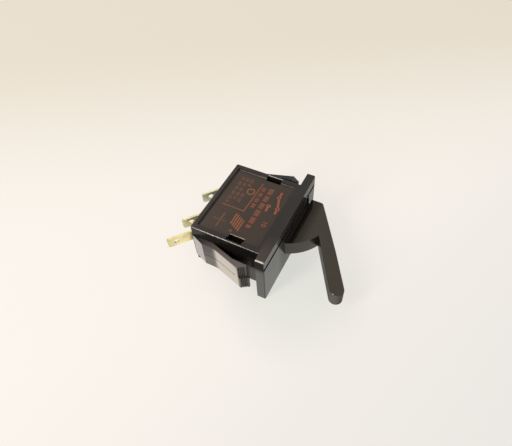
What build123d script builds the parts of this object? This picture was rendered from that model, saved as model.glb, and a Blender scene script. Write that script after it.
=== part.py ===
from build123d import *
import os
from math import cos, hypot, radians, sin, sqrt, tan

# Snap-in panel micro switch with a side lever.
# X points out of the panel, Y runs along the flange and Z points out of the marked face.
# The origin is the middle of the flange's rear face, which is the panel plane.

# ---------------------------------------------------------------- driving sizes, millimetres
flange_width = 27.3  # along Y
flange_height = 14.4  # along Z
flange_thick = 2.05
body_depth = 16.7  # behind the panel plane
body_near = 11.85  # from the middle of the flange to the body's side at -Y
body_far = 10.4  # and to its side at +Y
cover_far = 9.6  # the cover's own side at +Y, a little inside the base's
body_height = 11.8  # down from the marked face
cover_thick = 2.77  # depth of the cover, marked face to parting plane
wall = 1.3
floor_thick = 1.3
roof_thick = 1.2
edge_round = 0.3  # small moulded edge radius
ejector_radius = 1.1
ejector_depth = 0.08
seam = 0.28  # groove along the joint, in the flange's front face
seam_depth = 0.7
edge_break = 0.09  # broken edges of the windows and the recess

latch_height = 7.45  # down from the parting plane
latch_tip_back = 3.45  # tip of the upper half, behind the panel plane
latch_tip_out = 3.5  # tip's reach from the body's side
latch_land_out = 1.4  # reach of the short flat land at the rear
latch_angle = 17.0  # slope of the long ramp
latch_land_length = 2.2  # flat land before the ramp starts
latch_root_length = 5.2  # along the body's side
latch_end_run = 1.7  # the toothed end face, forward from the tip
latch_end_drop = 1.1  # and back in towards the body
latch_slit = 0.22  # slot between the upper and lower halves
latch_slit_end = 0.85  # closed stretch between the slot and the upper half's tip
latch_step = 0.5  # how much further forward the lower half reaches
tooth_pitch = 0.36
tooth_depth = 0.16

label_depth = 0.45  # recess for the marking
label_rear_rim = 1.1
label_near_rim = 1.25
label_far_rim = 1.2
label_front_rim = 0.75
window_length = 3.7  # snap windows in the cover, along X
window_back = 6.2  # their middle, behind the panel plane
near_window_width = 1.8
far_window_width = 1.35
window_strip = 0.45  # web left between a window and the cover's side
snap_sill = 0.25  # ledge at the foot of a window, which a snap post grips

lever_thick = 4.0
lever_below_label = 5.9  # marked face to the lever's upper face
pivot_back = 1.9  # pivot axis behind the panel plane
pivot_in = 1.9  # pivot axis inside the cavity's far wall
leg_out = 0.9  # socket of the return spring's moving leg, from the pivot axis
leg_near = 4.2
pin_radius = 0.75
slot_near = -3.6  # end of the lever slot at the flange's front face
slot_far = 10.1
slot_gap = 0.3
finger_length = 14.05  # hub rim to the middle of the rounded end
finger_width = 3.06
finger_angle = 58.7  # from the X axis towards -Y
finger_root_angle = 28.0  # where the finger leaves the hub's rim, below the X axis
heel_reach = 4.25  # heel beyond the pivot, along +Y
heel_width = 2.9
heel_gap = 0.35  # heel to flange at rest
press_angle = 25.0  # lever travel

tab_thick = 0.5
tab_width = 2.8
tab_length = 7.4  # bent part of each terminal
tab_angle = 50.0
tab_stub = 0.6  # straight part behind the body
tab_hole = 1.3
tab_below_label = 4.5  # marked face to the terminals' upper edge
common_y = 6.15
throw_spacing = 8.9  # common to normally open
pair_spacing = 6.25  # normally open to normally closed

blade_back = 7.6  # contact blade behind the panel plane
blade_thick = 0.25
blade_width = 3.2
contact_radius = 0.9
contact_thick = 0.5
contact_travel = 1.2
cam_throw = 3.0  # cam nose from the pivot axis
cam_radius = 0.8
cam_angle = 145.0  # cam nose from +X towards -Y, at rest
bracket_thick = 0.4
rivet_radius = 0.43
spring_wire = 0.4
snap_wire = 0.22
snap_turns = 7
wire_sides = 4  # spring wires are four-sided, which keeps their surfaces few
wire_knuckle = 0.2  # half the size of the knuckle where a leg joins its coil
blade_roll = 0.22  # radius of the blade's rolled edge, on which it rocks

fit = 0.05  # between pieces that are pushed together
running = 0.15  # between pieces that slide past each other

# ---------------------------------------------------------------- worked-out places
top_z = flange_height / 2
parting_z = top_z - cover_thick
body_bottom = top_z - body_height
cavity_floor = body_bottom + floor_thick
roof_z = top_z - roof_thick
near_y = -body_near
cavity_near = near_y + wall
cavity_far = body_far - wall
cavity_back = -(body_depth - wall)

lever_top = top_z - lever_below_label
lever_bottom = lever_top - lever_thick
pivot_x = -pivot_back
pivot_y = cavity_far - pivot_in
hub_radius = hypot(flange_thick - pivot_x, pivot_y - slot_near) - slot_gap
bore_radius = pin_radius + fit
boss_radius = pin_radius + 0.85

tab_top = top_z - tab_below_label
tab_bottom = tab_top - tab_width
tab_mid = (tab_top + tab_bottom) / 2
open_y = common_y - throw_spacing
closed_y = open_y - pair_spacing
terminal_ys = (common_y, open_y, closed_y)

blade_x = -blade_back
blade_front = blade_x + blade_thick / 2
blade_rear = blade_x - blade_thick / 2
blade_pivot_y = common_y - 0.25
contact_y = closed_y + 3.2
contact_arm = blade_pivot_y - contact_y
closed_face = blade_front + contact_thick + fit
open_face = blade_rear - contact_thick - contact_travel - 3 * fit
closed_pad_x = closed_face + contact_thick + tab_thick / 2
open_pad_x = open_face - contact_thick - tab_thick / 2
bracket_front = blade_x - blade_roll - 0.08
common_pad_x = bracket_front - bracket_thick - tab_thick / 2
rivet_y = common_y + 1.5

cam_start = radians(cam_angle)
cam_end = radians(cam_angle + press_angle)
cam_face_x = pivot_x + cam_throw * cos(cam_start) - cam_radius
slide_travel = cam_throw * (cos(cam_start) - cos(cam_end))
slider_front = cam_face_x - running
slider_back = blade_x + blade_thick / 2 + 2 * running
nib_y = blade_pivot_y - contact_arm * slide_travel / contact_travel
guide_far = cavity_far - 1.2  # inner face of the far snap post
slider_near = nib_y - 0.65
slider_far = guide_far - running


def span(low, high):
    """Middle and length of the stretch between two coordinates."""
    return (low + high) / 2, high - low


def slab(x_span, y_span, z_span, mode=Mode.ADD):
    """A block between three pairs of coordinates."""
    (x, dx), (y, dy), (z, dz) = span(*x_span), span(*y_span), span(*z_span)
    with Locations((x, y, z)):
        Box(dx, dy, dz, mode=mode)


def slot_plan(gap, back, front):
    """The lever slot in plan: one end follows the hub's rim, the other slants out to the front."""
    radius = hub_radius + slot_gap - gap

    def rim(x):
        return x, pivot_y - sqrt(radius**2 - (x - pivot_x) ** 2)

    def slant(x):
        return x, cavity_far + (slot_far - cavity_far) * x / flange_thick - gap

    with BuildSketch() as plan:
        with BuildLine():
            ThreePointArc(rim(back), rim((back + front) / 2), rim(front))
            Polyline(rim(front), slant(front), slant(back), rim(back))
        make_face()
    return plan.sketch


def latch_plan(side, reach):
    """One latch arm in plan, measured out from the body's side; side is -1 or +1 along Y."""
    base_y = near_y if side < 0 else body_far
    tip_x = -latch_tip_back + reach
    slope = tan(radians(latch_angle))
    tip_out = latch_tip_out + (reach * slope if reach else 0)
    ramp_x = tip_x - (tip_out - latch_land_out) / slope
    ramp_low = ramp_x - 0.8  # the ramp starts in a soft curve
    ramp_high = ramp_x + 1.2
    land_x = ramp_low - latch_land_length

    def at(x, out):
        return x, base_y + side * out

    inner_x = -body_depth + latch_root_length
    bend_x = tip_x - 2.0
    bend_out = (bend_x - inner_x) * slope
    end_x = tip_x + latch_end_run
    end_out = tip_out - latch_end_drop
    with BuildSketch() as plan:
        with BuildLine():
            Polyline(
                at(-body_depth, 0),
                at(land_x, latch_land_out),
                at(ramp_low, latch_land_out),
            )
            Spline(
                at(ramp_low, latch_land_out),
                at(ramp_high, latch_land_out + (ramp_high - ramp_x) * slope),
                tangents=[(1, 0), (1, side * slope)],
            )
            Polyline(
                at(ramp_high, latch_land_out + (ramp_high - ramp_x) * slope),
                at(tip_x, tip_out),
                at(end_x, end_out),
                at(end_x - 0.15, end_out - 0.45),
                at(bend_x, bend_out),
                at(inner_x, 0),
                at(inner_x, -0.3),
                at(-body_depth, -0.3),
                at(-body_depth, 0),
            )
        make_face()
    return plan.sketch


def tooth_plan(side, reach):
    """Saw cuts across the slanted end face of a latch arm."""
    base_y = near_y if side < 0 else body_far
    slope = tan(radians(latch_angle))
    tip_x = -latch_tip_back + reach
    tip_out = latch_tip_out + reach * slope
    length = hypot(latch_end_run, latch_end_drop)
    along = (latch_end_run / length, -latch_end_drop / length)
    across = (latch_end_drop / length, latch_end_run / length)
    count = int((length - 0.3) / tooth_pitch)
    with BuildSketch() as plan:
        for i in range(count):
            start = 0.2 + i * tooth_pitch
            corners = []
            for s, d in ((0, 0.05), (tooth_pitch, 0.05), (tooth_pitch * 0.55, -tooth_depth)):
                x = tip_x + (start + s) * along[0] + d * across[0]
                out = tip_out + (start + s) * along[1] + d * across[1]
                corners.append((x, base_y + side * out))
            with BuildLine():
                Polyline(*corners, close=True)
            make_face()
    return plan.sketch


def window_span(side):
    """Y range of a snap window in the cover; side is -1 or +1."""
    if side < 0:
        outer = near_y + window_strip
        return outer, outer + near_window_width
    outer = cover_far - window_strip
    return outer - far_window_width, outer


def snap_post(side):
    """Y range of the snap post that stands against the outer side of a window."""
    low, high = window_span(side)
    if side < 0:
        return low + fit, low + fit + post_thick
    return high - fit - post_thick, high - fit


window_x = (-window_back - window_length / 2, -window_back + window_length / 2)
post_thick = 0.6
post_x = (window_x[0] + 0.25, window_x[1] - 0.3)
sill_top = roof_z - label_depth + snap_sill
post_top = sill_top + 0.25
nib_reach = 0.2

# ---------------------------------------------------------------- base housing
with BuildPart() as base_housing:
    with BuildSketch(Plane.XY.offset(body_bottom)):
        (mid, length) = span(near_y, body_far)
        with Locations((-body_depth / 2, mid)):
            Rectangle(body_depth, length)
    extrude(amount=parting_z - body_bottom)
    fillet(base_housing.edges().filter_by(Axis.Z).group_by(Axis.X)[0], edge_round)
    fillet(base_housing.faces().sort_by(Axis.Z)[0].edges().group_by(Axis.X)[0], edge_round)
    with BuildSketch(Plane.YZ):
        (mid, length) = span(-top_z, parting_z)
        with Locations((0, mid)):
            Rectangle(flange_width, length)
    extrude(amount=flange_thick)
    fillet(base_housing.faces().sort_by(Axis.X)[-1].edges().filter_by(Axis.Z), edge_round)
    # latch arms, sawn into two halves, the lower one reaching further forward
    latch_bottom = parting_z - latch_height
    slit_z = (parting_z + latch_bottom) / 2
    ramp_length = (latch_tip_out - latch_land_out) / tan(radians(latch_angle))
    latch_slit_start = -latch_tip_back - ramp_length - latch_land_length - latch_slit_end
    for side in (-1, 1):
        for low, high, reach in (
            (latch_bottom, slit_z, latch_step),
            (slit_z, parting_z, 0),
        ):
            with BuildSketch(Plane.XY.offset(low)):
                add(latch_plan(side, reach))
            extrude(amount=high - low)
            with BuildSketch(Plane.XY.offset(low)):
                add(tooth_plan(side, reach))
            extrude(amount=high - low, mode=Mode.SUBTRACT)
        base_y = near_y if side < 0 else body_far
        slab(
            (latch_slit_start, -latch_tip_back - latch_slit_end),
            sorted((base_y, base_y + side * (latch_tip_out + 1))),
            (slit_z - latch_slit / 2, slit_z + latch_slit / 2),
            Mode.SUBTRACT,
        )
    slab((cavity_back, 0), (cavity_near, cavity_far), (cavity_floor, parting_z + 1), Mode.SUBTRACT)
    with BuildSketch(Plane.XY.offset(lever_bottom - running)):
        add(slot_plan(0, -0.4, flange_thick + 0.4))
    extrude(amount=parting_z - lever_bottom + 1, mode=Mode.SUBTRACT)
    # pivot boss with a blind hole for the pin
    with Locations((pivot_x, pivot_y, cavity_floor - 0.1)):
        Cylinder(
            boss_radius,
            lever_bottom - cavity_floor,
            align=(Align.CENTER, Align.CENTER, Align.MIN),
        )
    with Locations((pivot_x, pivot_y, body_bottom + 0.5)):
        Cylinder(
            pin_radius + fit / 2,
            lever_bottom - body_bottom,
            align=(Align.CENTER, Align.CENTER, Align.MIN),
            mode=Mode.SUBTRACT,
        )
    # posts that grip the terminals, and the slots in the rear wall
    for y in terminal_ys:
        slab(
            (cavity_back + 1.1, cavity_back + 2.7),
            (y - 1.3, y + 1.3),
            (cavity_floor - 0.1, tab_mid),
        )
        slab(
            (-body_depth - 1, cavity_back + 2.8),
            (y - tab_thick / 2 - fit, y + tab_thick / 2 + fit),
            (tab_bottom - fit, parting_z + 1),
            Mode.SUBTRACT,
        )
    # rests under the contact pads
    for x, y in ((closed_pad_x, contact_y), (open_pad_x, contact_y), (common_pad_x, cavity_far - 1.6)):
        slab((x - 0.6, x + 0.6), (y - 1.0, y + 1.0), (cavity_floor - 0.1, tab_bottom - fit))
    # guide rib for the slider, and the snap posts that rise into the cover's windows
    slab(
        (slider_back + 0.5, slider_front - 0.6),
        (slider_near - running - 0.8, slider_near - running),
        (cavity_floor - 0.1, tab_mid),
    )
    near_post, far_post = snap_post(-1), snap_post(1)
    slab(post_x, near_post, (cavity_floor, post_top))
    slab((post_x[0] + 0.25, post_x[1]), (guide_far, cavity_far + 0.1), (cavity_floor - 0.1, parting_z))
    slab((post_x[0] + 0.25, post_x[1]), far_post, (parting_z - 0.1, post_top))
    for y_edge, side in ((near_post[1], 1), (far_post[0], -1)):
        with BuildSketch(Plane.YZ.offset(post_x[0] + 0.25)):
            with BuildLine():
                Polyline(
                    (y_edge - side * 0.1, sill_top + 0.02),
                    (y_edge + side * nib_reach, sill_top + 0.02),
                    (y_edge, post_top),
                    (y_edge - side * 0.1, post_top),
                    close=True,
                )
            make_face()
        extrude(amount=post_x[1] - post_x[0] - 0.25)
    # marks of the ejector pins in the underside
    with BuildSketch(Plane.XY.offset(body_bottom)):
        with Locations((-body_depth / 2, (near_y + body_far) / 2)):
            with GridLocations(body_depth - 5, body_far - near_y - 5, 2, 2):
                Circle(ejector_radius)
    extrude(amount=ejector_depth, mode=Mode.SUBTRACT)
base_housing.part.label = "base_housing"

# ---------------------------------------------------------------- cover
with BuildPart() as cover:
    with BuildSketch(Plane.XY.offset(parting_z)):
        (mid, length) = span(near_y, cover_far)
        with Locations((-body_depth / 2, mid)):
            Rectangle(body_depth, length)
        with Locations((flange_thick / 2, 0)):
            Rectangle(flange_thick, flange_width)
    extrude(amount=cover_thick)
    rear_edges = cover.edges().filter_by(Axis.Z).group_by(Axis.X)
    fillet(rear_edges[0] + rear_edges[-1], edge_round)
    fillet(cover.faces().sort_by(Axis.Z)[-1].edges(), edge_round * 0.8)
    # recess for the marking
    with BuildSketch(Plane.XY.offset(top_z)):
        (x_mid, x_length) = span(-body_depth + label_rear_rim, -label_front_rim)
        (y_mid, y_length) = span(near_y + label_near_rim, cover_far - label_far_rim)
        with Locations((x_mid, y_mid)):
            RectangleRounded(x_length, y_length, 0.15)
    extrude(amount=-label_depth, mode=Mode.SUBTRACT)
    recess_floor = top_z - label_depth
    far_edge = (x_mid, cover_far - label_far_rim, recess_floor)
    fillet(cover.edges().filter_by(Axis.X).sort_by_distance(far_edge)[0], 1.5 * edge_break)
    # groove along the joint, closed at the flange's near end
    slab(
        (flange_thick - seam_depth, flange_thick + 1),
        (-flange_width / 2 + edge_round, flange_width),
        (parting_z - 1, parting_z + seam),
        Mode.SUBTRACT,
    )
    # hollow underneath
    slab(
        (cavity_back, -0.4),
        (cavity_near, cover_far - 1.0),
        (parting_z - 1, roof_z - label_depth),
        Mode.SUBTRACT,
    )
    # snap windows
    for side in (-1, 1):
        low, high = window_span(side)
        slab(window_x, (low, high), (sill_top, top_z + 1), Mode.SUBTRACT)
        # narrower at its foot, where the ledge for the snap post is left
        post, pocket = snap_post(side), (low, cavity_near + 0.1) if side < 0 else (cover_far - 1.2, high)
        foot = (low, post[1] + nib_reach / 2) if side < 0 else (post[0] - nib_reach / 2, high)
        slab(window_x, foot, (roof_z - 1, top_z), Mode.SUBTRACT)
        slab(window_x, pocket, (parting_z - 1, roof_z - label_depth), Mode.SUBTRACT)
        mouth = (-window_back, high, recess_floor if side < 0 else top_z)
        chamfer(cover.edges().filter_by(Axis.X).sort_by_distance(mouth)[0], edge_break)
    # tongue that closes the lever slot above the lever
    with BuildSketch(Plane.XY.offset(lever_top + running)):
        add(slot_plan(fit * 2, 0, flange_thick - 0.2))
    extrude(amount=parting_z + seam + 0.2 - lever_top - running)
    # bosses over the pivot pin and the terminals
    with Locations((pivot_x, pivot_y, roof_z)):
        Cylinder(
            boss_radius - 0.2,
            roof_z - parting_z + 1.0,
            align=(Align.CENTER, Align.CENTER, Align.MAX),
        )
        Cylinder(
            pin_radius + fit / 2,
            roof_z - parting_z + 1.0,
            align=(Align.CENTER, Align.CENTER, Align.MAX),
            mode=Mode.SUBTRACT,
        )
    for y in terminal_ys:
        slab(
            (-body_depth, cavity_back),
            (y - tab_thick / 2, y + tab_thick / 2),
            (tab_top + fit, parting_z + 0.1),
        )
cover.part.label = "cover"

# ---------------------------------------------------------------- lever
root_x = pivot_x + hub_radius * cos(radians(finger_root_angle))
root_y = pivot_y - hub_radius * sin(radians(finger_root_angle))
finger_dir = (cos(radians(finger_angle)), -sin(radians(finger_angle)))
finger_out = (sin(radians(finger_angle)), cos(radians(finger_angle)))
finger_radius = finger_width / 2


def along_finger(distance, offset):
    """A point so far down the finger from its root and so far out from its inner edge."""
    x = root_x + distance * finger_dir[0] + offset * finger_out[0]
    y = root_y + distance * finger_dir[1] + offset * finger_out[1]
    return x, y


heel_x = flange_thick + heel_gap
heel_y = pivot_y + heel_reach
with BuildPart() as lever:
    with BuildSketch(Plane.XY.offset(lever_bottom)):
        with BuildLine():
            rim_start = (pivot_x, pivot_y - hub_radius)
            rim_mid_angle = radians((90 + finger_root_angle) / 2)
            rim_mid = (
                pivot_x + hub_radius * cos(rim_mid_angle),
                pivot_y - hub_radius * sin(rim_mid_angle),
            )
            ThreePointArc(rim_start, rim_mid, (root_x, root_y))
            Line((root_x, root_y), along_finger(finger_length, 0))
            ThreePointArc(
                along_finger(finger_length, 0),
                along_finger(finger_length + finger_radius, finger_radius),
                along_finger(finger_length, finger_width),
            )
            Polyline(
                along_finger(finger_length, finger_width),
                along_finger(finger_length * 0.33, finger_width),
                (heel_x + heel_width, heel_y),
                (heel_x, heel_y),
                (heel_x, slot_far - running),
                (flange_thick, slot_far - running - 0.1),
                (0, cavity_far - running - 0.1),
                (pivot_x, pivot_y + boss_radius),
                (pivot_x - boss_radius, pivot_y),
                (pivot_x, pivot_y - boss_radius),
                rim_start,
            )
        make_face()
        with Locations((pivot_x, pivot_y)):
            Circle(boss_radius)
        # cam nose that drives the slider
        nose = (pivot_x + cam_throw * cos(cam_start), pivot_y - cam_throw * sin(cam_start))
        with Locations(nose):
            Circle(cam_radius)
        with BuildLine():
            Polyline(
                (pivot_x - boss_radius * 0.7, pivot_y + boss_radius * 0.7),
                (nose[0] - cam_radius * 0.6, nose[1] + cam_radius * 0.8),
                (nose[0] + cam_radius * 0.5, nose[1] - cam_radius * 0.86),
                (pivot_x, pivot_y - boss_radius - 1.6),
                (pivot_x, pivot_y),
                close=True,
            )
        make_face()
    extrude(amount=lever_thick)
    heel_corner = (heel_x + heel_width, heel_y, lever_top)
    fillet(lever.edges().filter_by(Axis.Z).sort_by_distance(heel_corner)[0], 0.9)
    for face in (lever.faces().sort_by(Axis.Z)[0], lever.faces().sort_by(Axis.Z)[-1]):
        fillet([edge for edge in face.edges() if edge.center().X > root_x], 0.2)
    with Locations((pivot_x, pivot_y, lever_bottom)):
        Cylinder(
            bore_radius,
            lever_thick,
            align=(Align.CENTER, Align.CENTER, Align.MIN),
            mode=Mode.SUBTRACT,
        )
    # socket for the moving leg of the return spring
    with Locations((pivot_x + leg_out, pivot_y - leg_near, lever_top)):
        Cylinder(
            spring_wire / 2 + 0.12,
            1.6,
            align=(Align.CENTER, Align.CENTER, Align.MAX),
            mode=Mode.SUBTRACT,
        )
lever.part.label = "lever"

# ---------------------------------------------------------------- pivot pin
with BuildPart() as pivot_pin:
    pin_bottom, pin_top = body_bottom + 0.6, roof_z - 0.4
    with Locations((pivot_x, pivot_y, pin_bottom)):
        Cylinder(pin_radius, pin_top - pin_bottom, align=(Align.CENTER, Align.CENTER, Align.MIN))
    chamfer(pivot_pin.edges().filter_by(GeomType.CIRCLE), 0.15)
pivot_pin.part.label = "pivot_pin"

# ---------------------------------------------------------------- return spring
coil_radius = pin_radius + 0.15 + spring_wire / 2
coil_low = lever_top + 0.3
coil_turns = 3.25
coil_pitch = spring_wire + 0.08
coil_height = coil_turns * coil_pitch
with BuildPart() as return_spring:
    with BuildLine(Plane((pivot_x, pivot_y, coil_low))) as coil_path:
        Helix(coil_pitch, coil_height, coil_radius)
    with BuildSketch(Plane(coil_path.line @ 0, z_dir=coil_path.line % 0)):
        RegularPolygon(spring_wire / 2, wire_sides)
    sweep(is_frenet=True)
    # moving leg: from the coil's lower end out over the hub and down into its socket
    low_end, high_end = coil_path.line @ 0, coil_path.line @ 1
    leg_x, leg_y = pivot_x + leg_out, pivot_y - leg_near
    with BuildLine() as moving_path:
        FilletPolyline(
            (low_end.X, low_end.Y, low_end.Z),
            (low_end.X, low_end.Y - 1.4, low_end.Z),
            (leg_x, leg_y, low_end.Z),
            (leg_x, leg_y, lever_top - 1.2),
            radius=0.45,
        )
    with BuildSketch(Plane(moving_path.line @ 0, z_dir=moving_path.line % 0)):
        RegularPolygon(spring_wire / 2, wire_sides)
    sweep(path=moving_path.line)
    # fixed leg: from the upper end back to the far wall
    with BuildLine() as fixed_path:
        FilletPolyline(
            (high_end.X, high_end.Y, high_end.Z),
            (high_end.X - 0.9, high_end.Y, high_end.Z),
            (post_x[1] + 0.3, cavity_far - spring_wire / 2 - fit, high_end.Z),
            radius=0.8,
        )
    with BuildSketch(Plane(fixed_path.line @ 0, z_dir=fixed_path.line % 0)):
        RegularPolygon(spring_wire / 2, wire_sides)
    sweep(path=fixed_path.line)
    with Locations(low_end, high_end):
        Box(2 * wire_knuckle, 2 * wire_knuckle, 2 * wire_knuckle)
return_spring.part.label = "return_spring"

# ---------------------------------------------------------------- drive slider
slider_top = tab_top - 0.1
slider_face = slider_front - 0.9
with BuildPart() as drive_slider:
    slab(
        (slider_face, slider_front),
        (slider_near, slider_far),
        (cavity_floor + running, slider_top),
    )
    slab(
        (slider_back, slider_face + 0.1),
        (slider_near, nib_y + 0.65),
        (tab_mid - blade_width / 2, slider_top),
    )
    # groove that clears the snap spring
    slab(
        (slider_back - 1, slider_face - 0.15),
        (slider_near - 1, nib_y + 2),
        (tab_mid - 0.85, tab_mid + 0.85),
        Mode.SUBTRACT,
    )
    fillet(drive_slider.edges().filter_by(Axis.Z).group_by(Axis.X)[-1], 0.3)
drive_slider.part.label = "drive_slider"


def strip_plan(*points):
    """A terminal strip in plan, bent along straight runs."""
    with BuildSketch() as plan:
        with BuildLine():
            FilletPolyline(*points, radius=0.5)
        trace(line_width=tab_thick)
    return plan.sketch


def tab_points(y):
    """Plan points of a terminal's bent tab: its tip, its bend and the body's rear wall."""
    bend = (-body_depth - tab_stub, y)
    tip = (
        bend[0] - tab_length * cos(radians(tab_angle)),
        y - tab_length * sin(radians(tab_angle)),
    )
    return tip, bend


def tab_plane(y):
    """Plane beside a tab's broad face, with its origin at the tip and its x along the tab."""
    tip, bend = tab_points(y)
    unit = ((bend[0] - tip[0]) / tab_length, (bend[1] - tip[1]) / tab_length)
    plane = Plane((*tip, tab_mid), x_dir=(unit[0], unit[1], 0), z_dir=(unit[1], -unit[0], 0))
    return plane.offset(-tab_thick)


def tab_cuts():
    """Wiring hole and clipped corners at the free end of a tab, drawn on its broad face."""
    clip = 0.35
    with BuildSketch() as cuts:
        with Locations((2.1, 0)):
            Circle(tab_hole / 2)
        for side in (-1, 1):
            edge = side * tab_width / 2
            with BuildLine():
                Polyline(
                    (-0.2, edge - side * clip),
                    (0, edge - side * clip),
                    (clip, edge),
                    (clip, edge + side * 0.2),
                    (-0.2, edge + side * 0.2),
                    close=True,
                )
            make_face()
    return cuts.sketch


# ---------------------------------------------------------------- terminals
with BuildPart() as common_terminal:
    with BuildSketch(Plane.XY.offset(tab_bottom)):
        pad = (common_pad_x, cavity_far - 0.5)
        add(strip_plan(*tab_points(common_y), (common_pad_x, common_y), pad))
    extrude(amount=tab_width)
    with BuildSketch(tab_plane(common_y)):
        add(tab_cuts())
    extrude(amount=2 * tab_thick, mode=Mode.SUBTRACT)
    with BuildSketch(Plane((common_pad_x - 1, rivet_y, tab_mid), z_dir=(1, 0, 0))):
        Circle(rivet_radius + fit / 2)
    extrude(amount=2, mode=Mode.SUBTRACT)
common_terminal.part.label = "common_terminal"

with BuildPart() as open_terminal:
    with BuildSketch(Plane.XY.offset(tab_bottom)):
        pad = (open_pad_x, contact_y - 1.0)
        add(strip_plan(*tab_points(open_y), (open_pad_x, open_y), pad))
    extrude(amount=tab_width)
    with BuildSketch(tab_plane(open_y)):
        add(tab_cuts())
    extrude(amount=2 * tab_thick, mode=Mode.SUBTRACT)
open_terminal.part.label = "open_terminal"

with BuildPart() as closed_terminal:
    with BuildSketch(Plane.XY.offset(tab_bottom)):
        pad = (closed_pad_x, contact_y + 1.0)
        add(strip_plan(*tab_points(closed_y), (closed_pad_x, closed_y), pad))
    extrude(amount=tab_width)
    with BuildSketch(tab_plane(closed_y)):
        add(tab_cuts())
    extrude(amount=2 * tab_thick, mode=Mode.SUBTRACT)
closed_terminal.part.label = "closed_terminal"

# ---------------------------------------------------------------- contact tips
with BuildPart() as closed_contact:
    with BuildSketch(Plane((closed_face, contact_y, tab_mid), z_dir=(1, 0, 0))):
        Circle(contact_radius)
    extrude(amount=contact_thick)
    chamfer(closed_contact.faces().sort_by(Axis.X)[0].edges(), 0.12)
closed_contact.part.label = "closed_contact"

with BuildPart() as open_contact:
    with BuildSketch(Plane((open_face, contact_y, tab_mid), z_dir=(-1, 0, 0))):
        Circle(contact_radius)
    extrude(amount=contact_thick)
    chamfer(open_contact.faces().sort_by(Axis.X)[-1].edges(), 0.12)
open_contact.part.label = "open_contact"

# ---------------------------------------------------------------- contact blade and its tips
with BuildPart() as contact_blade:
    blade_near, blade_end = contact_y - contact_radius - 0.3, blade_pivot_y + 0.5
    slab(
        (blade_x - blade_thick / 2, blade_x + blade_thick / 2),
        (blade_near, blade_end),
        (tab_mid - blade_width / 2, tab_mid + blade_width / 2),
    )
    window_low, window_high = contact_y + 2.2, blade_pivot_y - 0.5
    slab(
        (blade_x - 1, blade_x + 1),
        (window_low, window_high),
        (tab_mid - 0.85, tab_mid + 0.85),
        Mode.SUBTRACT,
    )
    with BuildSketch(Plane((blade_x - 1, window_low - 0.6, tab_mid), z_dir=(1, 0, 0))):
        Circle(0.25)
    extrude(amount=2, mode=Mode.SUBTRACT)
    fillet(contact_blade.edges().filter_by(Axis.X).group_by(Axis.Y)[0], 0.8)
    with BuildSketch(Plane.XY.offset(tab_mid - blade_width / 2)):
        with Locations((blade_x, blade_pivot_y)):
            Circle(blade_roll)
    extrude(amount=blade_width)
contact_blade.part.label = "contact_blade"

with BuildPart() as front_moving_contact:
    with BuildSketch(Plane((blade_front, contact_y, tab_mid), z_dir=(1, 0, 0))):
        Circle(contact_radius)
    extrude(amount=contact_thick)
    chamfer(front_moving_contact.faces().sort_by(Axis.X)[-1].edges(), 0.12)
front_moving_contact.part.label = "front_moving_contact"

with BuildPart() as rear_moving_contact:
    with BuildSketch(Plane((blade_rear, contact_y, tab_mid), z_dir=(-1, 0, 0))):
        Circle(contact_radius)
    extrude(amount=contact_thick)
    chamfer(rear_moving_contact.faces().sort_by(Axis.X)[0].edges(), 0.12)
rear_moving_contact.part.label = "rear_moving_contact"

# ---------------------------------------------------------------- anchor bracket and rivet
anchor_low = blade_pivot_y - 0.7
with BuildPart() as anchor_bracket:
    slab(
        (bracket_front - bracket_thick, bracket_front),
        (anchor_low, cavity_far - 0.55),
        (tab_bottom, tab_top),
    )
    with BuildSketch(Plane((bracket_front - 1, rivet_y, tab_mid), z_dir=(1, 0, 0))):
        Circle(rivet_radius + fit / 2)
    extrude(amount=2, mode=Mode.SUBTRACT)
    # tongue that takes the fixed end of the snap spring, through the blade's window
    slab(
        (bracket_front - bracket_thick, blade_x + 0.35),
        (anchor_low - 0.4, anchor_low),
        (tab_mid - 0.6, tab_mid + 0.6),
    )
anchor_bracket.part.label = "anchor_bracket"

with BuildPart() as anchor_rivet:
    rivet_back = common_pad_x - tab_thick / 2
    for low, high, radius in (
        (rivet_back - 0.35, rivet_back, 0.8),
        (rivet_back, bracket_front, rivet_radius),
        (bracket_front, bracket_front + 0.12, 0.75),
    ):
        with BuildSketch(Plane((low, rivet_y, tab_mid), z_dir=(1, 0, 0))):
            Circle(radius)
        extrude(amount=high - low)
anchor_rivet.part.label = "anchor_rivet"

# ---------------------------------------------------------------- snap spring
snap_radius = 0.5
snap_high = anchor_low - 0.55
snap_low = window_low + 0.45
with BuildPart() as snap_spring:
    snap_height = snap_high - snap_low
    with BuildLine() as snap_path:
        start = (blade_x, snap_low, tab_mid)
        Helix(snap_height / snap_turns, snap_height, snap_radius, center=start, direction=(0, 1, 0))
    with BuildSketch(Plane(snap_path.line @ 0, z_dir=snap_path.line % 0)):
        RegularPolygon(snap_wire / 2, wire_sides)
    sweep(is_frenet=True)
snap_spring.part.label = "snap_spring"

# ---------------------------------------------------------------- export
pieces = (
    base_housing,
    cover,
    lever,
    pivot_pin,
    return_spring,
    drive_slider,
    common_terminal,
    open_terminal,
    closed_terminal,
    open_contact,
    closed_contact,
    contact_blade,
    front_moving_contact,
    rear_moving_contact,
    anchor_bracket,
    anchor_rivet,
    snap_spring,
)
os.makedirs("parts", exist_ok=True)
for piece in pieces:
    export_step(piece.part, f"parts/{piece.part.label}.step")
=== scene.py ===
from math import cos, pi, radians, sin

import bmesh
import bpy
import numpy as np
from mathutils import Matrix, Vector


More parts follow.
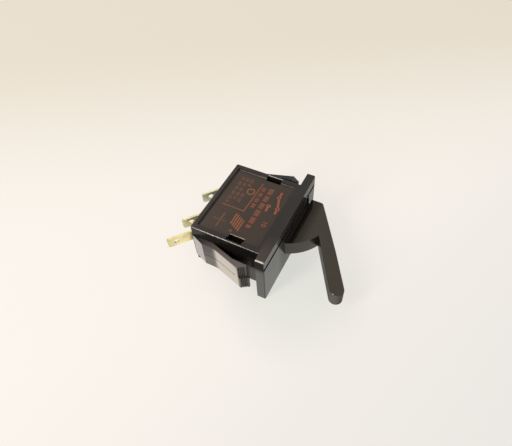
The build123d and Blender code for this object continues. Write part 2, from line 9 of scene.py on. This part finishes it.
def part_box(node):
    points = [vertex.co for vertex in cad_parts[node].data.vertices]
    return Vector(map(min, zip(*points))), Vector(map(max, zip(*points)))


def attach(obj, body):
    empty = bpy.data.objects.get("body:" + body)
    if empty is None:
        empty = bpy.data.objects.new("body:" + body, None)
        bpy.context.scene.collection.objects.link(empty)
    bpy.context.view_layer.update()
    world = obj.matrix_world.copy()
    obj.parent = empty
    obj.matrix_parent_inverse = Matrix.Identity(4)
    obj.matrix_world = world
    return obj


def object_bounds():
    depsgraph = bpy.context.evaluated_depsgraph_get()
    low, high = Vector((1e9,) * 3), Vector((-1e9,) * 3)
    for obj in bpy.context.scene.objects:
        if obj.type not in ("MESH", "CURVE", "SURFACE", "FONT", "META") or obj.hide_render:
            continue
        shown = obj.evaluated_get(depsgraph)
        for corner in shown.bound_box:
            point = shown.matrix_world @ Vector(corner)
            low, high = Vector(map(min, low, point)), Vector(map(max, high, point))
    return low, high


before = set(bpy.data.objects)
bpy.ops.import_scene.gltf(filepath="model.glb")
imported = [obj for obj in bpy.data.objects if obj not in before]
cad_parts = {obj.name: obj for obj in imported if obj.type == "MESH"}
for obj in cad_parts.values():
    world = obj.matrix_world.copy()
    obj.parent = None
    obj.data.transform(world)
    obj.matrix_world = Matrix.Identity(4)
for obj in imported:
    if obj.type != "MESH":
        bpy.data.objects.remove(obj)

cad_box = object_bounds()
MM = 0.001

# Places on the switch, in millimetres, in the part's own frame: X out of the panel, Y along the flange, Z up.
COVER_LOW, COVER_HIGH = (np.array(corner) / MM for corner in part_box("cover"))
BASE_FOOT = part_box("base_housing")[0][2] / MM
LEVER_FOOT, LEVER_TOP = (corner[2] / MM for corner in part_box("lever"))
TOP = COVER_HIGH[2]
FLOOR = cad_box[0][2] / MM
REAR = COVER_LOW[0]
FLANGE_FRONT = COVER_HIGH[0]
FLANGE_NEAR, FLANGE_FAR = COVER_LOW[1], COVER_HIGH[1]
NEAR_SIDE, FAR_SIDE = -11.85, 9.6  # the cover's sides behind the flange
BASE_FAR_SIDE = 10.4  # the base's far side stands a little further out
PARTING = 4.43  # height of the joint between base and cover

# the recessed marking field and the two snap windows in it
FIELD_Z = TOP - 0.45
FIELD_X = (REAR + 1.1, -0.75)
FIELD_Y = (NEAR_SIDE + 1.25, FAR_SIDE - 1.2)
WINDOW_X = (-8.05, -4.35)
WINDOWS_Y = ((-11.4, -9.6), (7.8, 9.15))

# the latch arms: a flat land along X between two slopes, then the toothed end in front of the tip
LATCH_LAND = (-13.32, -11.12)
LATCH_TIP = -3.45
LATCH_HEIGHT = 7.45
LATCH_FOOT = PARTING - LATCH_HEIGHT
LATCH_SLIT_Z = PARTING - LATCH_HEIGHT / 2
LATCH_SLIT_X = (-13.37, -4.3)
LATCH_SLIT_WIDTH = 0.22

HUB_END = 8.0  # the edges of the lever's hub and heel are sharp, up to here along X; the finger's are rounded


# ---------------------------------------------------------------- finishes
class Wire:
    """A value that runs between the nodes of a finish. Sums, differences and products add Math nodes."""

    def __init__(self, finish, socket):
        self.finish, self.socket = finish, socket

    def maths(self, operation, *values):
        return self.finish.node("ShaderNodeMath", {"operation": operation}, dict(enumerate(values)))

    def __add__(self, other):
        return self.maths("ADD", self, other)

    def __sub__(self, other):
        return self.maths("SUBTRACT", self, other)

    def __rsub__(self, other):
        return self.maths("SUBTRACT", other, self)

    def __mul__(self, other):
        return self.maths("MULTIPLY", self, other)

    def __abs__(self):
        return self.maths("ABSOLUTE", self)

    __radd__ = __add__
    __rmul__ = __mul__

    def low(self, other):
        return self.maths("MINIMUM", self, other)

    def high(self, other):
        return self.maths("MAXIMUM", self, other)

    def step(self, start, end):
        """0 below start and 1 above end, with a soft change between; start may be the higher one."""
        ends = {"From Min": min(start, end), "From Max": max(start, end)}
        if start > end:
            ends.update({"To Min": 1.0, "To Max": 0.0})
        return self.finish.node(
            "ShaderNodeMapRange", {"interpolation_type": "SMOOTHSTEP"}, {"Value": self, **ends}
        )

    def between(self, start, end, soft):
        """1 between start and end, fading out over soft on both sides."""
        return self.step(start - soft, start + soft) * self.step(end + soft, end - soft)


class Finish:
    """A procedural finish. x, y and z are the place on the part in millimetres."""

    def __init__(self, name):
        self.material = bpy.data.materials.new(name)
        self.material.use_nodes = True
        self.tree = self.material.node_tree
        self.tree.nodes.clear()
        metres = self.node("ShaderNodeTexCoord", out="Object")
        self.place = self.node("ShaderNodeVectorMath", {"operation": "SCALE"}, {0: metres, "Scale": 1 / MM})
        self.x, self.y, self.z = (
            self.node("ShaderNodeSeparateXYZ", {}, {0: self.place}, out=axis) for axis in "XYZ"
        )

    def node(self, kind, settings=None, values=None, out=0):
        """Adds a node: its settings first, then the values or wires of its sockets."""
        node = self.tree.nodes.new(kind)
        for key, value in (settings or {}).items():
            setattr(node, key, value)
        for key, value in (values or {}).items():
            if isinstance(value, Wire):
                self.tree.links.new(value.socket, node.inputs[key])
            else:
                node.inputs[key].default_value = value
        return Wire(self, node.outputs[out]) if len(node.outputs) else node

    def noise(self, size, detail=2.0, stretch=(1, 1, 1)):
        """Cloudy noise from 0 to 1; size is that of its blots in millimetres."""
        place = self.node("ShaderNodeVectorMath", {"operation": "MULTIPLY"}, {0: self.place, 1: stretch})
        return self.node("ShaderNodeTexNoise", {}, {"Vector": place, "Scale": 1 / size, "Detail": detail})

    def blend(self, factor, first, second):
        """A colour between two colours."""
        first, second = (c if isinstance(c, Wire) else (*c, 1) for c in (first, second))
        return self.node("ShaderNodeMix", {"data_type": "RGBA"}, {0: factor, 6: first, 7: second}, out=2)

    def bump(self, height, distance):
        """Turns a height from 0 to 1 into a relief of so many millimetres."""
        return self.node("ShaderNodeBump", {}, {"Height": height, "Distance": distance * MM})

    def shader(self, **values):
        """The finish's main shader. Names are those of its sockets, with _ for a space."""
        sockets = {key.replace("_", " "): value for key, value in values.items()}
        for key in ("Base Color", "Specular Tint"):
            if key in sockets and not isinstance(sockets[key], Wire):
                sockets[key] = (*sockets[key], 1)
        return self.node("ShaderNodeBsdfPrincipled", {}, sockets)

    def close(self, shader):
        self.node("ShaderNodeOutputMaterial", {}, {"Surface": shader})
        return self.material


def moulded_grain(finish):
    """Fine uneven skin of a moulding: shallow sink, and a fine grain."""
    return finish.noise(0.9, 2.0) * 0.5 + finish.noise(0.09, 3.0) * 0.16


def handling(finish):
    """0 to 1: smeared patches where fingers have polished or greased the plastic."""
    return finish.noise(2.6, 4.0, stretch=(1.0, 0.7, 1.0)).step(0.38, 0.66)


def specks(finish, size=0.22):
    """Sparse dust, 0 or nearly 1."""
    return finish.noise(size, 1.0).step(0.735, 0.775)


def edge_line(first, second, width):
    """1 along an edge where two distances are both small, given in millimetres from that edge."""
    return abs(first).step(width, 0) * abs(second).step(width, 0)


def lever_sides(finish):
    """1 on the lever's upright sides and 0 on its level faces, which are found by their height."""
    depth = (LEVER_TOP - finish.z).low(finish.z - LEVER_FOOT)
    return depth.step(0.06, 0.14).high(depth.step(0.005, 0.02) * finish.x.step(HUB_END + 0.1, HUB_END - 0.1))


def cover_sides(finish):
    """1 on the cover's outer sides and its two ends of the flange, below the rounded top edge."""
    f = finish
    behind = f.y.between(NEAR_SIDE - 0.05, NEAR_SIDE + 0.08, 0.02)
    behind = behind.high(f.y.between(FAR_SIDE - 0.08, FAR_SIDE + 0.05, 0.02))
    behind = behind * f.x.step(REAR + 0.06, REAR + 0.17) * f.x.step(-0.01, -0.03)
    ends = f.y.step(FLANGE_NEAR + 0.08, FLANGE_NEAR + 0.03)
    ends = ends.high(f.y.step(FLANGE_FAR - 0.08, FLANGE_FAR - 0.03))
    ends = ends * f.x.step(0.01, 0.03) * f.x.step(FLANGE_FRONT - 0.06, FLANGE_FRONT - 0.17)
    return behind.high(ends) * f.z.step(TOP - 0.08, TOP - 0.165)


def latch_level(finish):
    """1 on the level faces of the latch arms: top, foot and both sides of the slit."""
    f = finish
    half = LATCH_SLIT_WIDTH / 2 + 0.005
    slit = f.z.between(LATCH_SLIT_Z - half, LATCH_SLIT_Z + half, 0.004) * f.x.between(*LATCH_SLIT_X, 0.01)
    ends = f.z.step(PARTING - 0.03, PARTING - 0.01).high(f.z.step(LATCH_FOOT + 0.03, LATCH_FOOT + 0.01))
    return ends.high(slit)


def painted_recess_shade(finish):
    """Painted shade: 1 down in the two snap windows, and along the joint in a band a little broader than its
    groove.
    """
    f = finish
    below = f.z.step(FIELD_Z - 0.02, FIELD_Z - 0.1)
    near, far = (f.y.between(*window, 0.02) for window in WINDOWS_Y)
    windows = f.x.between(*WINDOW_X, 0.02) * near.high(far) * below * f.z.step(PARTING + 0.3, PARTING + 0.4)
    groove = f.z.between(PARTING - 0.46, PARTING + 0.40, 0.04) * f.x.step(0.8, 1.0)
    groove = groove * f.y.step(FLANGE_NEAR + 0.045, FLANGE_NEAR + 0.12)
    return windows.high(groove * f.y.step(FLANGE_FAR - 0.045, FLANGE_FAR - 0.12))


def unlit(finish, surface, amount):
    """The surface, turned by amount into the black of places that no light reaches."""
    black = finish.shader(Base_Color=(0.006, 0.005, 0.005), Roughness=0.9, Specular_IOR_Level=0.0)
    return finish.node("ShaderNodeMixShader", {}, {0: amount, 1: surface, 2: black})


# ---------------------------------------------------------------- black plastics
def housing_plastic():
    """Glossy black of the base.

    The slopes of the latch arms carry a strongly reflecting coat. Their toothed ends are paler, and the near
    arm's top carries a painted reflection. The flange's front is a shade greener, with painted highlights on
    its near and foot edges, and painted light makes its near end greyer lower down. Painted shade darkens the
    side behind the near arm, the near end close under the cover, the front apart from its near third, the
    snap windows and the band along the joint.
    """
    f = Finish("housing_plastic")
    patches, dust = handling(f), specks(f)
    latch = f.y.step(NEAR_SIDE - 0.02, NEAR_SIDE - 0.08)
    latch = latch.high(f.y.step(BASE_FAR_SIDE + 0.02, BASE_FAR_SIDE + 0.1))
    latch = latch * f.x.step(-0.4, -0.6)
    teeth = latch * f.x.step(LATCH_TIP - 0.15, LATCH_TIP + 0.15)
    level = latch_level(f)
    land_start, land_end = LATCH_LAND
    ramp = f.x.step(land_end + 0.45, land_end + 1.58)  # starts in a soft curve
    slopes = (1 - level) * f.x.step(land_start + 0.01, land_start - 0.01).high(ramp)
    # painted reflection: the near arm's top is painted paler, more so towards the front
    latch_top_painted_reflection = latch * level * f.y.step(0.0, -1.0) * f.x.step(-16.5, -9.0)  # near arm, paler to the front
    front = f.x.step(FLANGE_FRONT - 0.1, FLANGE_FRONT - 0.02)
    near_end = f.y.between(FLANGE_NEAR - 0.1, FLANGE_NEAR + 0.03, 0.02) * f.x.step(-0.1, 0.1)
    gap = f.y.between(NEAR_SIDE - 0.1, NEAR_SIDE + 0.1, 0.02) * f.x.step(-2.0, -3.4)
    # painted highlights along the flange front's near edge and along its foot
    edges = edge_line(f.x - FLANGE_FRONT, f.y - FLANGE_NEAR, 0.22)
    edges = edges.high(edge_line(f.x - FLANGE_FRONT, f.z - BASE_FOOT, 0.22))
    colour = f.blend(patches * 0.5, (0.011, 0.010, 0.009), (0.016, 0.015, 0.013))
    colour = f.blend(front * 0.8, colour, (0.024, 0.030, 0.027))
    colour = f.blend(edges * 0.25, colour, (0.13, 0.13, 0.12))
    # painted light: the flange's near end is painted greyer lower down
    colour = f.blend(near_end * f.z.step(PARTING, PARTING - 2.5), colour, (0.042, 0.044, 0.040))
    colour = f.blend(teeth * 0.5, colour, (0.056, 0.054, 0.050))
    colour = f.blend(latch_top_painted_reflection, colour, (0.110, 0.094, 0.090))
    colour = f.blend(dust * 0.3, colour, (0.26, 0.25, 0.22))
    surface = f.shader(
        Base_Color=colour,
        Roughness=0.15 + patches * 0.06 + teeth * 0.20,
        IOR=1.54,
        Coat_Weight=latch * slopes * (1 - teeth),
        Coat_IOR=2.3,
        Coat_Roughness=0.13,
        Normal=f.bump(moulded_grain(f), 0.006),
    )
    # painted shade: the side behind the near arm, the near end close under the cover and the front apart from
    # its near third turn towards black
    painted_shade = (gap * 0.7).high(near_end * f.z.step(PARTING - 1.2, PARTING) * 0.6)
    painted_shade = painted_shade.high(front * f.y.step(-7.5, -4.5) * 0.25)
    return f.close(unlit(f, surface, painted_recess_shade(f).high(painted_shade)))


def cover_plastic():
    """Black of the cover: a satin brown-black marking field, painted edge highlights and light, painted shade
    on sides and front.
    """
    f = Finish("cover_plastic")
    patches, dust = handling(f), specks(f)
    field = f.z.step(FIELD_Z + 0.1, FIELD_Z + 0.03) * f.z.step(FIELD_Z - 0.2, FIELD_Z - 0.1)
    field = field * f.x.between(*FIELD_X, 0.03) * f.y.between(*FIELD_Y, 0.03)
    front = f.x.step(FLANGE_FRONT - 0.1, FLANGE_FRONT - 0.02)
    # painted light: the flange's top is painted paler, more so towards its near end
    towards_near_end = f.x.step(-0.6, 0.4) * f.y.step(-5.0, -12.0) * f.z.step(TOP - 0.3, TOP - 0.1)  # top of the flange
    # painted highlights along the rear top edge, the flange's near top edge and the near top edge
    rear_edge_highlight = edge_line(f.x - REAR, f.z - TOP, 0.3)
    flange_edge_highlight = edge_line(f.y - FLANGE_NEAR, f.z - TOP, 0.5) * f.x.step(0.1, 0.2)
    near_edge_highlight = edge_line(f.y - NEAR_SIDE, f.z - TOP, 0.32) * f.x.step(-3.0, -12.0)
    colour = f.blend(patches * 0.5, (0.013, 0.010, 0.0095), (0.019, 0.015, 0.0135))
    colour = f.blend(field, colour, (0.032, 0.020, 0.014))
    colour = f.blend(front * 0.8, colour, (0.034, 0.034, 0.030))
    colour = f.blend(towards_near_end * 0.7, colour, (0.050, 0.040, 0.035))
    colour = f.blend(rear_edge_highlight * 0.35, colour, (0.15, 0.13, 0.10))
    colour = f.blend(flange_edge_highlight, colour, (0.62, 0.58, 0.55))
    colour = f.blend(near_edge_highlight * 0.5, colour, (0.40, 0.35, 0.30))
    colour = f.blend(dust * 0.3, colour, (0.26, 0.24, 0.21))
    surface = f.shader(
        Base_Color=colour,
        Roughness=0.14 + patches * 0.07 + field * 0.12,
        IOR=1.5,
        Normal=f.bump(moulded_grain(f), 0.008),
    )
    # painted shade: the cover's sides, more so towards the front, and the far half of its front turn towards
    # black
    painted_shade = cover_sides(f) * (0.45 + f.x.step(-15.0, -11.0) * 0.35)
    painted_shade = painted_shade.high(front * f.y.step(-2.0, 2.0) * 0.30)
    return f.close(unlit(f, surface, painted_recess_shade(f).high(painted_shade)))


def lever_plastic():
    """Smooth olive-black of the lever: mirror-like on top, satin on its sides, greyer on the tip's sides.

    Painted light makes the tip's sides greyer. Painted shade darkens its top towards the flange, and its
    sides short of the tip, mostly those of the finger.
    """
    f = Finish("lever_plastic")
    patches, dust = handling(f), specks(f, 0.2)
    sides = lever_sides(f)
    # painted shade: the lever's top turns towards black near the flange
    painted_slot_shade = f.x.step(6.5, 3.5) * (1 - sides) * 0.5
    # painted shade on the upright sides short of the tip, mostly those of the finger
    painted_side_shade = sides * f.y.step(-11.0, -10.0) * (0.1 + f.x.step(8.6, 9.4) * 0.4)
    towards_near_end = f.y.step(-2.0, -9.0)  # duller towards the tip
    colour = f.blend(patches * 0.6, (0.011, 0.009, 0.006), (0.017, 0.014, 0.009))
    # painted light: the tip's upright sides are painted greyer
    colour = f.blend(sides * f.y.step(-10.0, -12.0), colour, (0.064, 0.066, 0.063))
    colour = f.blend(dust * 0.2, colour, (0.20, 0.18, 0.15))
    surface = f.shader(
        Base_Color=colour,
        Roughness=0.05 + patches * 0.03 + towards_near_end * 0.10 + sides * 0.22,
        IOR=1.72,
        Specular_Tint=(1.0, 0.92, 0.77),
        Normal=f.bump(moulded_grain(f), 0.006),
    )
    return f.close(unlit(f, surface, painted_slot_shade.high(painted_side_shade)))


def slider_plastic():
    """Natural white acetal, slightly translucent looking, with a waxy shine."""
    f = Finish("slider_acetal")
    cloud = f.noise(1.4, 3.0)
    colour = f.blend(cloud, (0.70, 0.67, 0.58), (0.80, 0.78, 0.70))
    return f.close(
        f.shader(
            Base_Color=colour,
            Roughness=0.32 + cloud * 0.12,
            IOR=1.48,
            Normal=f.bump(moulded_grain(f), 0.012),
        )
    )


# ---------------------------------------------------------------- metals
def strip_metal(name, bright, dull, roughness, along=(1, 1, 6)):
    """Rolled strip: fine drawn lines and stains."""
    f = Finish(name)
    lines = f.noise(0.12, 2.0, stretch=along)
    stain = f.noise(1.7, 4.0).step(0.42, 0.70)
    colour = f.blend(stain * 0.6, bright, dull)
    colour = f.blend(lines * 0.15, colour, (1.0, 0.97, 0.86))
    return f.close(
        f.shader(
            Base_Color=colour,
            Metallic=1.0,
            Roughness=roughness + lines * 0.10 + stain * 0.10,
            Normal=f.bump(lines, 0.006),
        )
    )


def wire_steel(name):
    """Drawn steel wire or a ground pin: bright, with fine rings and a few dull spots."""
    f = Finish(name)
    rings = f.noise(0.10, 2.0, stretch=(1, 1, 4))
    dull = f.noise(0.8, 3.0).step(0.5, 0.7)
    colour = f.blend(dull, (0.62, 0.62, 0.61), (0.46, 0.45, 0.43))
    return f.close(
        f.shader(
            Base_Color=colour,
            Metallic=1.0,
            Roughness=0.22 + rings * 0.08 + dull * 0.12,
            Normal=f.bump(rings, 0.004),
        )
    )


def contact_silver():
    """Silver contact alloy with darker worn spots."""
    f = Finish("contact_silver")
    spots = f.noise(0.35, 4.0).step(0.4, 0.7)
    colour = f.blend(spots, (0.88, 0.87, 0.84), (0.62, 0.59, 0.55))
    return f.close(
        f.shader(
            Base_Color=colour,
            Metallic=1.0,
            Roughness=0.25 + spots * 0.2,
            Normal=f.bump(spots, 0.006),
        )
    )


def marking_ink(name, colour, worn):
    """Thin printed ink, patchy where the pad left too little of it."""
    f = Finish(name)
    thin = f.noise(0.28, 3.0).step(0.40, 0.66)
    shade = f.blend(thin, colour, worn)
    return f.close(f.shader(Base_Color=shade, Roughness=0.42 + thin * 0.1, IOR=1.45))


def wear(node, material):
    """Gives a CAD node its finish, in the material slots that it came with."""
    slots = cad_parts[node].material_slots
    for place in slots:
        place.material = material
    if not len(slots):
        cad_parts[node].data.materials.append(material)


wear("base_housing", housing_plastic())
wear("cover", cover_plastic())
wear("lever", lever_plastic())
wear("drive_slider", slider_plastic())
tab_brass = strip_metal("tab_brass", (0.70, 0.66, 0.36), (0.60, 0.53, 0.30), 0.25)
wear("open_terminal", tab_brass)
wear("closed_terminal", tab_brass)
wear("common_terminal", strip_metal("tab_brass_pale", (0.76, 0.78, 0.56), (0.66, 0.66, 0.44), 0.30))
blade_copper = strip_metal("blade_copper", (0.80, 0.50, 0.30), (0.62, 0.36, 0.20), 0.26, along=(1, 6, 1))
wear("contact_blade", blade_copper)
bracket_brass = strip_metal("bracket_brass", (0.80, 0.66, 0.36), (0.62, 0.47, 0.24), 0.28)
wear("anchor_bracket", bracket_brass)
wear("anchor_rivet", bracket_brass)
spring_steel = wire_steel("spring_steel")
wear("return_spring", spring_steel)
wear("snap_spring", spring_steel)
wear("pivot_pin", wire_steel("pin_steel"))
silver = contact_silver()
for tip in ("open_contact", "closed_contact", "front_moving_contact", "rear_moving_contact"):
    wear(tip, silver)


# ---------------------------------------------------------------- marking
INK_LOW, INK_HIGH = FIELD_Z + 0.004, FIELD_Z + 0.016  # under and upper side of the print


def printed(name, points, faces, material, doubled=False):
    """A printed piece on the cover, from points in millimetres; doubled ones are made one if so told."""
    mesh = bpy.data.meshes.new(name)
    mesh.from_pydata((points * MM).tolist(), [], faces)
    mesh.materials.append(material)
    if doubled:
        shell = bmesh.new()
        shell.from_mesh(mesh)
        bmesh.ops.remove_doubles(shell, verts=shell.verts, dist=0.001 * MM)
        bmesh.ops.recalc_face_normals(shell, faces=shell.faces)
        shell.to_mesh(mesh)
        shell.free()
    mesh.update()
    piece = bpy.data.objects.new(name, mesh)
    bpy.context.scene.collection.objects.link(piece)
    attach(piece, "housing")


def band(paths, width, closed=False):
    """Printed lines of even width, each a flat bar carried along its path of points.

    The rims at a point are the point plus and minus width / 2 times (n1 + n2) / (1 + n1 . n2), where n1 and
    n2 are the unit normals of the stretches that meet there. Both lie on the ink's lower and upper plane.
    """
    paths = np.asarray(paths, float)
    step = np.roll(paths, -1, axis=1) - paths
    normal = np.stack([-step[..., 1], step[..., 0]], axis=-1)
    normal /= np.linalg.norm(normal, axis=-1, keepdims=True)
    before = np.roll(normal, 1, axis=1)
    if not closed:
        normal[:, -1], before[:, 0] = normal[:, -2], normal[:, 0]
    side = (normal + before) / (1 + (normal * before).sum(-1, keepdims=True)) * width / 2
    rims = np.stack([paths - side, paths + side, paths + side, paths - side], axis=2)
    depth = np.broadcast_to(np.array([INK_LOW, INK_LOW, INK_HIGH, INK_HIGH])[:, None], (*rims.shape[:3], 1))
    points = np.concatenate([rims, depth], axis=-1)
    many, count = paths.shape[:2]
    place = np.arange(many * count * 4).reshape(many, count, 4)
    here = place if closed else place[:, :-1]
    there = np.roll(place, -1, axis=1) if closed else place[:, 1:]
    sides = [here, np.roll(here, -1, 2), np.roll(there, -1, 2), there]
    faces = np.stack(sides, axis=-1).reshape(-1, 4)
    if not closed:
        faces = np.concatenate([faces, place[:, 0, ::-1], place[:, -1]])
    return points.reshape(-1, 3), faces.tolist()


def ring_paths(centres, radius, count=24):
    """Closed round paths: point k is the centre plus radius times (cos, sin) of 2 pi k / count."""
    turn = np.arange(count) * 2 * pi / count
    return np.asarray(centres)[:, None] + radius * np.stack([np.cos(turn), np.sin(turn)], axis=-1)


def tally(x, y_start, y_end, height, pitch, group):
    """A row of strokes along -Y from y_start, each standing along X; after each group one is left out."""
    count = np.arange(int((y_start - y_end) / pitch) + 1)
    y = (y_start - pitch * count)[count % (group + 1) != group]
    foot = np.stack([np.full_like(y, x - height / 2), y], axis=-1)
    head = np.stack([np.full_like(y, x + height / 2), y], axis=-1)
    return np.stack([foot, head], axis=1)


orange = marking_ink("marking_orange", (0.29, 0.087, 0.036), (0.17, 0.057, 0.028))
brown = marking_ink("marking_brown", (0.19, 0.076, 0.040), (0.11, 0.046, 0.028))

printed("marking_divider", *band([[(-8.12, 6.55), (-8.34, -2.74), (-14.0, -2.70)]], 0.20), orange)
printed("marking_fraction", *band([[(-11.9, -4.95), (-11.9, -9.0)]], 0.17), orange)

# changeover sign: a common point, a slanting blade and two fixed points
common, upper, lower = (-2.85, 4.1), (-1.75, 0.85), (-3.95, 0.85)
sign_lines = [
    [(common[0], 5.8), (common[0], common[1] + 0.52)],
    [(common[0] + 0.17, common[1] - 0.49), (upper[0] - 0.17, upper[1] + 0.49)],
    [(upper[0], upper[1] - 0.52), (upper[0], -0.75)],
    [(lower[0], lower[1] - 0.52), (lower[0], -0.75)],
]
printed("marking_sign", *band(sign_lines, 0.50), orange)
printed("marking_sign_points", *band(ring_paths([common, upper, lower], 0.36), 0.30, closed=True), orange)

printed("marking_tally_long", *band(tally(-5.4, 5.6, -6.4, 1.15, 0.46, 4), 0.25), orange)
printed("marking_tally_short", *band(tally(-7.2, 5.3, -1.7, 0.95, 0.44, 3), 0.21), orange)
# each span is x, y_start and y_end; the first row is parted by the ring
spans = ((-10.85, 6.5, 4.4), (-10.85, 1.7, -0.9), (-12.05, 6.5, -0.5), (-13.25, 6.5, -1.9))
rows = [tally(*span, 0.80, 0.40, 3) for span in spans]
printed("marking_tally_faint", *band(np.concatenate(rows), 0.19), brown)
first_bar = np.array([(-9.3, -3.9), (-9.3, -7.1)])
bars = first_bar + np.arange(5)[:, None, None] * (0.58, -0.30)
printed("marking_bars", *band(bars, 0.32), orange)
printed("marking_ring", *band(ring_paths([(-9.6, 3.1)], 0.85), 0.30, closed=True), orange)


def number(name, text, x, y, height, material):
    """A plain number with its foot towards -X that reads along -Y; x and y are its middle, in millimetres.

    A point that lies (across, up) from the number's own middle goes to (x + up, y - across).
    """
    curve = bpy.data.curves.new(name, "FONT")
    curve.body, curve.extrude, curve.resolution_u = text, 0.5, 4
    holder = bpy.data.objects.new(name, curve)
    bpy.context.scene.collection.objects.link(holder)
    bpy.context.view_layer.update()
    mesh = bpy.data.meshes.new_from_object(holder)
    bpy.data.objects.remove(holder)
    points = np.empty(len(mesh.vertices) * 3)
    mesh.vertices.foreach_get("co", points)
    faces = [tuple(face.vertices) for face in mesh.polygons]
    bpy.data.meshes.remove(mesh)
    points = points.reshape(-1, 3)
    points -= (points.max(0) + points.min(0)) / 2
    points[:, :2] *= height / np.ptp(points[:, 1])
    across, up, out = points.T
    out = np.where(out > 0, INK_HIGH, INK_LOW)
    printed(name, np.stack([x + up, y - across, out], axis=1), faces, material, doubled=True)


number("marking_number_1", "1", -10.95, -7.0, 1.05, brown)
number("marking_number_2", "2", -12.9, -7.0, 1.05, brown)
number("marking_number_4", "4", -8.35, -8.75, 0.95, orange)
number("marking_number_10", "10", -2.5, -4.3, 1.2, orange)


# ---------------------------------------------------------------- floor, light and camera
AZIMUTH, ELEVATION = 30.783, 51.295  # of the camera, in degrees


def floor_finish():
    """Matt near-white board that dims a little with distance, with a cool painted shade next to the lever.

    Seen directly or in gloss it is evened out, so that only a soft shadow is left on it.
    """
    f = Finish("floor_board")
    turn = radians(AZIMUTH)
    away = f.y * cos(turn) - f.x * sin(turn)
    right = f.x * cos(turn) + f.y * sin(turn)
    shade = f.blend(away.step(5.0, 105.0), (0.928, 0.893, 0.847), (0.80, 0.742, 0.635))
    shade = f.blend((right * 0.6 - away).step(-15.0, 75.0), shade, (0.82, 0.807, 0.780))
    # painted shade: a cool, greenish darker patch on the floor next to the lever
    ends = {0: f.place, 1: (7, -10, FLOOR)}  # from anywhere to the middle of the cooler patch
    beside = f.node("ShaderNodeVectorMath", {"operation": "DISTANCE"}, ends, out="Value")
    shade = f.blend(beside.step(19.0, 6.0) * 0.6, shade, (0.76, 0.785, 0.735))
    board = f.shader(Base_Color=shade, Roughness=0.85, IOR=1.3)
    glow = f.node("ShaderNodeEmission", {}, {"Color": shade, "Strength": 1.0})
    seen = f.node("ShaderNodeLightPath", out="Is Camera Ray")
    shiny = f.node("ShaderNodeLightPath", out="Is Glossy Ray")
    mixed = f.node("ShaderNodeMixShader", {}, {0: seen.high(shiny) * 0.75, 1: board, 2: glow})
    return f.close(mixed)


def floor_sheet(half):
    """A flat square board; half is half of its side in metres."""
    mesh = bpy.data.meshes.new("floor")
    corners = [(x, y, FLOOR * MM) for x, y in ((-half, -half), (half, -half), (half, half), (-half, half))]
    mesh.from_pydata(corners, [], [(0, 1, 2, 3)])
    mesh.materials.append(floor_finish())
    board = bpy.data.objects.new("floor", mesh)
    bpy.context.scene.collection.objects.link(board)


floor_sheet(4.0)

world = bpy.data.worlds.new("studio")
world.use_nodes = True
sky = world.node_tree.nodes["Background"]
sky.inputs["Color"].default_value = (1.0, 0.95, 0.90, 1)
sky.inputs["Strength"].default_value = 0.68
bpy.context.scene.world = world


def lamp_panel(name, aim, direction, distance, size, radiance, colour):
    """A rectangular studio lamp that faces aim from so far along direction; sizes in millimetres.

    Its length lies at right angles to X. A panel of area A sends out pi * A * radiance watts.
    """
    lamp = bpy.data.lights.new(name, "AREA")
    lamp.shape, lamp.size, lamp.size_y = "RECTANGLE", size[0] * MM, size[1] * MM
    lamp.energy, lamp.color = pi * lamp.size * lamp.size_y * radiance, colour
    back = Vector(direction).normalized()
    length = back.cross(Vector((1, 0, 0))).normalized()
    axes = Matrix((length.cross(back), length, back)).transposed().to_4x4()
    holder = bpy.data.objects.new(name, lamp)
    bpy.context.scene.collection.objects.link(holder)
    holder.matrix_world = Matrix.Translation((Vector(aim) + back * distance) * MM) @ axes
    holder.visible_camera = False


lamp_panel("key_strip", (0, 0, 0), (-0.37, -0.75, 0.55), 600, (110, 430), 18.0, (1.0, 0.90, 0.80))
lamp_panel("far_left_softbox", (-7, 0, 6), (-0.62, 0.40, 0.62), 600, (240, 240), 1.65, (1.0, 0.82, 0.62))
lamp_panel("low_near_panel", (-11.5, -15.9, FLOOR), (0, 0, -1), -0.3, (12.0, 3.4), 0.54, (1.0, 0.82, 0.58))


def set_camera(target, azimuth, elevation, roll, distance, lens):
    """A camera that looks at target from azimuth and elevation, turned about its own axis by roll.

    Angles are in degrees, and target, distance and the lens's focal length in millimetres.
    """
    az, el = radians(azimuth), radians(elevation)
    back = Vector((sin(az) * cos(el), -cos(az) * cos(el), sin(el)))
    right = Vector((0, 0, 1)).cross(back).normalized()
    up = back.cross(right)
    turn = radians(roll)
    axes = (right * cos(turn) + up * sin(turn), up * cos(turn) - right * sin(turn), back)
    camera = bpy.data.cameras.new("camera")
    camera.lens, camera.sensor_width = lens, 36.0
    camera.clip_start, camera.clip_end = 0.005, 20.0
    holder = bpy.data.objects.new("camera", camera)
    place = Vector(target) * MM + back * distance * MM
    holder.matrix_world = Matrix.Translation(place) @ Matrix(axes).transposed().to_4x4()
    bpy.context.scene.collection.objects.link(holder)
    bpy.context.scene.camera = holder


set_camera((-7.066, 0.049, 0.0), AZIMUTH, ELEVATION, roll=-4.447, distance=102.06, lens=30.23)

view = bpy.context.scene.view_settings
view.view_transform = "Standard"
